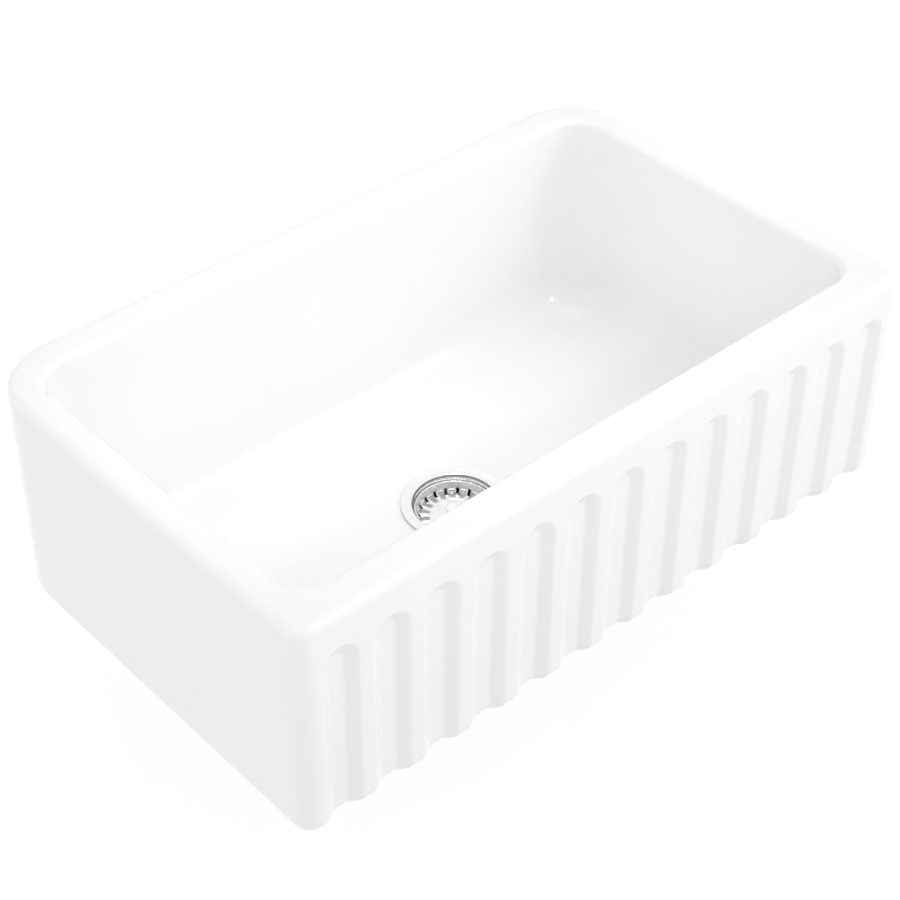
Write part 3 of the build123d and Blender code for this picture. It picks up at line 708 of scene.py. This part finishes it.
def axis_place(tree):
    """The height, and a place for noise that is made of height and distance from the axis."""
    place = object_place(tree)
    split = tree.nodes.new("ShaderNodeSeparateXYZ")
    tree.links.new(place, split.inputs[0])
    level = tree.nodes.new("ShaderNodeCombineXYZ")
    tree.links.new(split.outputs["X"], level.inputs["X"])
    tree.links.new(split.outputs["Y"], level.inputs["Y"])
    length = add_node(tree, "ShaderNodeVectorMath", operation="LENGTH")
    tree.links.new(level.outputs[0], length.inputs[0])
    turned = tree.nodes.new("ShaderNodeCombineXYZ")
    tree.links.new(length.outputs["Value"], turned.inputs["X"])
    tree.links.new(split.outputs["Z"], turned.inputs["Z"])
    drift = add_node(tree, "ShaderNodeVectorMath", operation="SCALE", Scale=RING_DRIFT)
    tree.links.new(level.outputs[0], drift.inputs[0])
    both = add_node(tree, "ShaderNodeVectorMath", operation="ADD")
    tree.links.new(turned.outputs[0], both.inputs[0])
    tree.links.new(drift.outputs[0], both.inputs[1])
    return split.outputs["Z"], both.outputs[0]


def blend(tree, kind, factor, first, second):
    """The first where the factor is 0 and the second where it is 1: RGBA is colours, FLOAT numbers.

    The mix node has a set of sockets for each kind under the same names, so they go by their place.
    """
    first_socket, second_socket, result_socket = MIX_SOCKETS[kind]
    mix = add_node(tree, "ShaderNodeMix", data_type=kind)
    tree.links.new(factor, mix.inputs["Factor"])
    tree.links.new(first, mix.inputs[first_socket])
    tree.links.new(second, mix.inputs[second_socket])
    return mix.outputs[result_socket]


def turned_metal(name, pale, dark, smooth, dull, ring_depth, painted_patches=()):
    """A turned metal: two tones, a range of roughness, rings of this depth and any painted patches.

    A patch is the mask that says where it is, and the levels of its pale and its dark grey, which paint
    shade or a dark reflection into the colour there; the patch is also rougher.
    """
    material, tree, shader = new_finish(name, Metallic=1.0)
    height, turned = axis_place(tree)
    rings = noise(tree, turned, RING_SCALE, 3.0, 0.6)
    clouds = noise(tree, object_place(tree), CLOUD_SCALE, 3.0)
    colour = between_colours(tree, clouds, dark, pale)
    roughness = in_range(tree, rings, smooth, dull)
    # Each patch paints shade or a dark reflection into the colour under its mask, and makes the steel
    # rougher there.
    for where, painted_pale, painted_dark in painted_patches:
        mask = where(tree, height)
        streaks = noise(tree, object_place(tree), STREAK_SCALE, 4.0)
        patch = between_colours(tree, streaks, grey(painted_dark), grey(painted_pale))
        patch_roughness = in_range(tree, streaks, PATCH_SMOOTH, PATCH_DULL)
        colour = blend(tree, "RGBA", mask, colour, patch)
        roughness = blend(tree, "FLOAT", mask, roughness, patch_roughness)
    tree.links.new(colour, shader.inputs["Base Color"])
    tree.links.new(roughness, shader.inputs["Roughness"])
    tree.links.new(bumped(tree, rings, ring_depth), shader.inputs["Normal"])
    return material


def coat(names, material):
    """Give these nodes one finish."""
    for name in names:
        mesh = nodes[name].data
        mesh.materials.clear()
        mesh.materials.append(material)


print("rings to the metre:", RING_SCALE)

# %% [markdown]
# ### Painted shade and dark reflections on the steel
#
# A narrow band where the flange turns down into the throat, and the tops of the basket's petals, get a
# painted dark reflection: their steel is coloured a dark grey and made rougher. The basket's wall gets
# a little painted shade in its colour, and is rougher too. Each of the three gets a mask, a number that
# is 1 there and 0 elsewhere. The band and the wall are told by their height. The petals are told by a
# number that the basket's mesh, made further down, carries at each of its points.

# %% Masks for the painted shade and dark reflections on the steel
FLANGE_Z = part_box("strainer_cup")[1].z
BAND_TOP = FLANGE_Z - 0.0006
BAND_LOW = FLANGE_Z - 0.0024
BAND_FADE = 0.0003
WALL_LOW = FLANGE_Z - 0.0165
WALL_HIGH = FLANGE_Z - 0.0145
PETAL_MARK = "petal"
PETAL_TOP_FROM = 0.85
PETAL_TOP_FULL = 0.95


def in_the_throat(tree, height):
    """1 where the flange turns down, and 0 above and below."""
    below = in_range(tree, height, 1, 0, BAND_TOP - BAND_FADE, BAND_TOP)
    above = in_range(tree, height, 0, 1, BAND_LOW - BAND_FADE, BAND_LOW)
    both = add_node(tree, "ShaderNodeMath", operation="MULTIPLY")
    tree.links.new(below, both.inputs[0])
    tree.links.new(above, both.inputs[1])
    return both.outputs[0]


def up_the_wall(tree, height):
    """0 on the basket's floor, rising to 1 on its wall."""
    return in_range(tree, height, 0, 1, WALL_LOW, WALL_HIGH)


def on_petals(tree, height):
    """1 on the tops of the petals, and 0 elsewhere; every mask is given the height, used or not."""
    mark = add_node(tree, "ShaderNodeAttribute", attribute_name=PETAL_MARK)
    return in_range(tree, mark.outputs["Fac"], 0, 1, PETAL_TOP_FROM, PETAL_TOP_FULL)


# Painted dark reflection: the throat band is coloured a dark grey where the flange turns down.
THROAT_PAINTED_REFLECTION = (in_the_throat, 0.30, 0.19)
# Painted shade: the basket's wall is coloured a little darker grey than its floor.
WALL_PAINTED_SHADE = (up_the_wall, 0.92, 0.70)
# Painted dark reflection: the tops of the petals are coloured a dark grey.
PETALS_PAINTED_REFLECTION = (on_petals, 0.45, 0.36)
print("dull band:", round((BAND_TOP - BAND_LOW) * 1000, 1), "mm high")

# %% [markdown]
# ### The metals
#
# Six metals cover the waste. Polished steel is for the knob and the bush, spun steel for the cup with
# its flange, and pressed steel for the basket. The clamping cup and the stem are satin steel, the
# tube and its nut are chrome plated, and the other nuts and the threaded outlet are turned brass.

# %% Coat the metal nodes
STEEL_PALE = grey(0.95)
STEEL_DARK = grey(0.89)
POLISH = {"pale": STEEL_PALE, "dark": STEEL_DARK, "smooth": 0.06, "dull": 0.14, "ring_depth": 4e-6}
polished = turned_metal("polished_steel", **POLISH)
spun = turned_metal("spun_steel", **POLISH, painted_patches=[THROAT_PAINTED_REFLECTION])
pressed = turned_metal(
    "pressed_steel",
    pale=STEEL_PALE,
    dark=grey(0.82),
    smooth=0.08,
    dull=0.24,
    ring_depth=8e-6,
    painted_patches=[WALL_PAINTED_SHADE, PETALS_PAINTED_REFLECTION],
)
satin = turned_metal(
    "satin_steel",
    pale=(0.66, 0.66, 0.67, 1),
    dark=(0.56, 0.56, 0.57, 1),
    smooth=0.24,
    dull=0.42,
    ring_depth=1e-5,
)
chrome = turned_metal(
    "chrome_plate",
    pale=(0.86, 0.86, 0.88, 1),
    dark=(0.80, 0.80, 0.82, 1),
    smooth=0.04,
    dull=0.10,
    ring_depth=1e-6,
)
brass = turned_metal(
    "turned_brass",
    pale=(0.80, 0.62, 0.30, 1),
    dark=(0.66, 0.47, 0.20, 1),
    smooth=0.20,
    dull=0.40,
    ring_depth=1.5e-5,
)
coat(["strainer_cup"], spun)
coat(["basket_bush", "knob"], polished)
coat(["outer_cup", "detent_ring", "stopper_stem", "stopper_plate"], satin)
coat(["tailpiece", "coupling_nut"], chrome)
coat(["locknut", "bush_nut", "stem_nut"], brass)
print("metals:", [m.name for m in (polished, spun, pressed, satin, chrome, brass)])

# %% [markdown]
# ## Rubber, gasket and fibre
#
# The soft rings are matt. Black rubber keeps a talc bloom and mould grain, the pale gasket is a foam
# with tiny closed cells, and the slip washer is red-brown vulcanised fibre with darker flecks.

# %% Soft rings
GRAINS_PER_PATCH = 8


def matt_stuff(name, pale, dark, scale, depth, smooth, dull):
    """A matt material: two tones mixed by a grain of this scale, with a bump of this depth.

    Its roughness goes from smooth to dull in patches that are wider than the grain.
    """
    material, tree, shader = new_finish(name)
    place = object_place(tree)
    grain = noise(tree, place, scale, 5.0, 0.65)
    wear = noise(tree, place, scale / GRAINS_PER_PATCH)
    tree.links.new(between_colours(tree, grain, dark, pale, 0.38, 0.62), shader.inputs["Base Color"])
    tree.links.new(in_range(tree, wear, smooth, dull), shader.inputs["Roughness"])
    tree.links.new(bumped(tree, grain, depth), shader.inputs["Normal"])
    return material


rubber = matt_stuff(
    "black_rubber",
    pale=grey(0.055),
    dark=grey(0.03),
    scale=1800.0,
    depth=3e-5,
    smooth=0.5,
    dull=0.75,
)
foam = matt_stuff(
    "pale_gasket",
    pale=(0.78, 0.77, 0.73, 1),
    dark=(0.68, 0.67, 0.62, 1),
    scale=1400.0,
    depth=8e-5,
    smooth=0.75,
    dull=0.95,
)
fibre = matt_stuff(
    "red_fibre",
    pale=(0.50, 0.22, 0.15, 1),
    dark=(0.34, 0.13, 0.09, 1),
    scale=900.0,
    depth=4e-5,
    smooth=0.6,
    dull=0.8,
)
coat(["under_gasket", "cup_seal", "stopper_seal"], rubber)
coat(["flange_gasket", "tailpiece_washer"], foam)
coat(["slip_washer"], fibre)
print("soft rings:", [m.name for m in (rubber, foam, fibre)])

# %% [markdown]
# ## The basket
#
# The basket is one pressing: a disc with raised petals, a leaning wall, and a rim rolled over a wire.
# Short slots are punched through the corner between floor and wall. The solid has the petals as
# level lands on the floor. In the real sheet they are pushed up from below, so their sides slope, their
# undersides are hollow, and they run on a little up the wall. The sheet is made again from one line:
# its middle line in section, followed by the way along it. Columns run along each slot's two edges,
# so that the faces between them can be left out.

# %% The basket's section
SHEET = 0.0006
BUSH_R = 0.006
WALL_FOOT_R = 0.0375
WALL_BEND_R = 0.0045
BEAD_R = 0.0012
ROLL_R = BEAD_R - SHEET / 2
ROLL_TURN = radians(285)
BASKET_LOW, BASKET_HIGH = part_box("basket")
SHEET_Z = BASKET_LOW.z + SHEET / 2

ROLL_X = BASKET_HIGH.x - BEAD_R
ROLL_Z = BASKET_HIGH.z - BEAD_R
ROLL_AWAY = hypot(ROLL_X - WALL_FOOT_R, ROLL_Z - SHEET_Z)
LEAN = atan2(ROLL_X - WALL_FOOT_R, ROLL_Z - SHEET_Z) - ROLL_R / ROLL_AWAY
BEND_REACH = WALL_BEND_R * tan((pi / 2 - LEAN) / 2)
FLOOR_LENGTH = WALL_FOOT_R - BEND_REACH
BEND_LENGTH = WALL_BEND_R * (pi / 2 - LEAN)
WALL_LENGTH = sqrt(ROLL_AWAY**2 - ROLL_R**2) - BEND_REACH
WALL_START = FLOOR_LENGTH + BEND_LENGTH
ROLL_START = WALL_START + WALL_LENGTH
LINE_END = ROLL_START + ROLL_R * ROLL_TURN


def sheet_place(way):
    """Radius, height and slope of the middle line, this far along it from the axis."""
    if way < FLOOR_LENGTH:
        return way, SHEET_Z, 0.0
    if way < WALL_START:
        slope = (way - FLOOR_LENGTH) / WALL_BEND_R
        radius = FLOOR_LENGTH + WALL_BEND_R * sin(slope)
        return radius, SHEET_Z + WALL_BEND_R * (1 - cos(slope)), slope
    if way < ROLL_START:
        up = way - WALL_START + BEND_REACH
        return WALL_FOOT_R + up * sin(LEAN), SHEET_Z + up * cos(LEAN), pi / 2 - LEAN
    turn = pi - LEAN - (way - ROLL_START) / ROLL_R
    return ROLL_X + ROLL_R * cos(turn), ROLL_Z + ROLL_R * sin(turn), turn - pi / 2


print("basket wall leans", round(degrees(LEAN), 1), "degrees")

# %% Slots and petals
def way_up_wall(height):
    """The way along the line to this height on the wall."""
    return WALL_START + (height - SHEET_Z) / cos(LEAN) - BEND_REACH


SLOTS = 19
FIRST_SLOT = radians(6.5)
SLOT_HALF = 0.0016
SLOT_MIN = 0.0003
SLOT_START = 0.035
SLOT_TOP_Z = 0.0065
SLOT_END = way_up_wall(SLOT_TOP_Z)
PETAL_START = 0.0265
PETAL_TOP_Z = 0.0053
PETAL_END = way_up_wall(PETAL_TOP_Z)
PETAL_RISE = 0.0011
PETAL_SLOPE = 0.0009
PETAL_BROW = radians(5.1)
PETAL_COLUMNS = 3


def slot_half_width(way):
    """Half the slot's width here; its ends are round, and beyond them the columns run on closer."""
    inside = min(way - SLOT_START, SLOT_END - way)
    if inside < 0:
        return SLOT_HALF / 2
    inside = min(inside, SLOT_HALF)
    return max(sqrt(SLOT_HALF**2 - (SLOT_HALF - inside) ** 2), SLOT_MIN)


def soft_step(share):
    """A smooth rise from 0 to 1."""
    share = min(max(share, 0), 1)
    return share * share * (3 - 2 * share)


def petal_share(way, across, brow):
    """How far up the petal this place is, from 0 in the trough to 1 on top."""
    side = soft_step((across - brow + PETAL_SLOPE) / PETAL_SLOPE)
    inner = soft_step((way - PETAL_START) / PETAL_SLOPE)
    outer = soft_step((PETAL_END - way) / PETAL_SLOPE)
    return side * inner * outer


def half_columns(way, brow, pitch_half):
    """Distances of the columns from a slot's middle, up to the middle of the petal beside it."""
    foot = brow - PETAL_SLOPE
    slot_edge = min(slot_half_width(way), foot - SLOT_MIN)
    on_petal = spread(brow, pitch_half, PETAL_COLUMNS)
    return [0, slot_edge, foot, brow - PETAL_SLOPE / 2] + on_petal


print("slot from", round(SLOT_START * 1000, 1), "to", round(SLOT_END * 1000, 1), "mm along the line")

# %% Make the basket
ROW_SPANS = [
    (BUSH_R, PETAL_START, 6),
    (PETAL_START, PETAL_START + PETAL_SLOPE, 3),
    (PETAL_START + PETAL_SLOPE, SLOT_START, 4),
    (SLOT_START, SLOT_START + SLOT_HALF, 5),
    (SLOT_START + SLOT_HALF, PETAL_END - PETAL_SLOPE, 6),
    (PETAL_END - PETAL_SLOPE, SLOT_END - SLOT_HALF, 1),
    (SLOT_END - SLOT_HALF, SLOT_END, 6),
    (SLOT_END, ROLL_START, 6),
    (ROLL_START, LINE_END, 20),
]


def basket_points(ways):
    """The net's points row by row, and how far up a petal each one is."""
    points = []
    shares = []
    for way in ways:
        radius, height, slope = sheet_place(way)
        reach = max(radius, PETAL_START)
        brow = PETAL_BROW * reach
        half = half_columns(way, brow, pi * reach / SLOTS)
        across = [-distance for distance in reversed(half[1:])] + half[:-1]
        for slot in range(SLOTS):
            for distance in across:
                angle = FIRST_SLOT + 2 * pi * slot / SLOTS + distance / reach
                share = petal_share(way, abs(distance), brow)
                out = radius - PETAL_RISE * share * sin(slope)
                up = height + PETAL_RISE * share * cos(slope)
                points.append((out * cos(angle), out * sin(angle), up))
                shares.append(share)
    return points, shares, len(across)


def make_basket():
    """The slotted basket as one bent sheet with a thickness."""
    ways = [BUSH_R]
    for start, end, count in ROW_SPANS:
        ways += spread(start, end, count)[1:]
    points, shares, per_slot = basket_points(ways)
    middle = per_slot // 2
    width = per_slot * SLOTS
    faces = []
    for i in range(len(ways) - 1):
        punched = SLOT_START < (ways[i] + ways[i + 1]) / 2 < SLOT_END
        for j in range(width):
            if punched and j % per_slot in (middle - 1, middle):
                continue
            k = (j + 1) % width
            faces.append((i * width + j, (i + 1) * width + j, (i + 1) * width + k, i * width + k))
    mesh = bpy.data.meshes.new("slotted_basket")
    mesh.from_pydata(points, [], faces)
    mesh.shade_smooth()
    mark = mesh.attributes.new(PETAL_MARK, "FLOAT", "POINT")
    mark.data.foreach_set("value", shares)
    basket = bpy.data.objects.new("slotted_basket", mesh)
    bpy.context.scene.collection.objects.link(basket)
    sheet = basket.modifiers.new("sheet", "SOLIDIFY")
    sheet.thickness = SHEET
    sheet.offset = 0
    return basket


def drop_loose_points(piece):
    """Delete the points that no face uses."""
    net = bmesh.new()
    net.from_mesh(piece.data)
    loose = [point for point in net.verts if not point.link_faces]
    bmesh.ops.delete(net, geom=loose, context="VERTS")
    net.to_mesh(piece.data)
    net.free()
    return len(loose)


basket = make_basket()
print("loose points dropped:", drop_loose_points(basket))
basket.data.materials.append(pressed)
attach(basket, "basket_unit")
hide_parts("basket")
print("basket faces:", len(basket.data.polygons))

# %% [markdown]
# ## The outlet's thread
#
# The outlet under the cup is a threaded brass tube, on which both nuts turn. The solid has plain
# rings in place of the turns. A real thread climbs as it goes round, so the tube is made again as a
# net whose radius rises and falls with height and with the way round, and which runs out to the plain
# tube at both ends.

# %% Threaded outlet
PITCH = 0.0023
THREAD_DEPTH = 0.001
CREST_SHARE = 0.17
NIPPLE_LOW, NIPPLE_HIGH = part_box("outlet_nipple")
BORE_R = 0.0195
COLLAR_WIDTH = 0.004
COLLAR_T = 0.002
RUNOUT = 0.002
THREAD_COLUMNS = 120
ROWS_PER_TURN = 8
CREST_R = NIPPLE_HIGH.x - COLLAR_WIDTH


def thread_rise(z, angle, low, high):
    """Height of the thread over its root at this place: a trapezium wave that fades at both ends."""
    phase = ((z - low) / PITCH - angle / (2 * pi)) % 1
    flank = (1 - CREST_SHARE) / 2
    wave = min(abs(phase - 0.5) / flank, 1)
    fade = min(max(min(z - low, high - z) / RUNOUT, 0), 1)
    return THREAD_DEPTH * (1 - wave) * fade


def make_nipple():
    """The threaded outlet with its collar, as one closed net about the axis."""
    low = NIPPLE_LOW.z
    top = NIPPLE_HIGH.z
    collar_z = top - COLLAR_T
    root_r = CREST_R - THREAD_DEPTH
    angles = [2 * pi * i / THREAD_COLUMNS for i in range(THREAD_COLUMNS)]

    def ring(radius_at, z):
        return [(radius_at(a) * cos(a), radius_at(a) * sin(a), z) for a in angles]

    rings = [ring(lambda a: BORE_R, low)]
    rows = round((collar_z - low) / PITCH * ROWS_PER_TURN)
    for z in spread(low, collar_z, rows):
        rings.append(ring(lambda a: root_r + thread_rise(z, a, low, collar_z), z))
    rings.append(ring(lambda a: NIPPLE_HIGH.x, collar_z))
    rings.append(ring(lambda a: NIPPLE_HIGH.x, top))
    rings.append(ring(lambda a: BORE_R, top))
    nipple = bpy.data.objects.new("threaded_outlet", net_mesh("threaded_outlet", rings))
    bpy.context.scene.collection.objects.link(nipple)
    return nipple


nipple = make_nipple()
nipple.data.materials.append(brass)
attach(nipple, "sink")
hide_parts("outlet_nipple")
print("thread turns:", round((NIPPLE_HIGH.z - NIPPLE_LOW.z) / PITCH, 1))
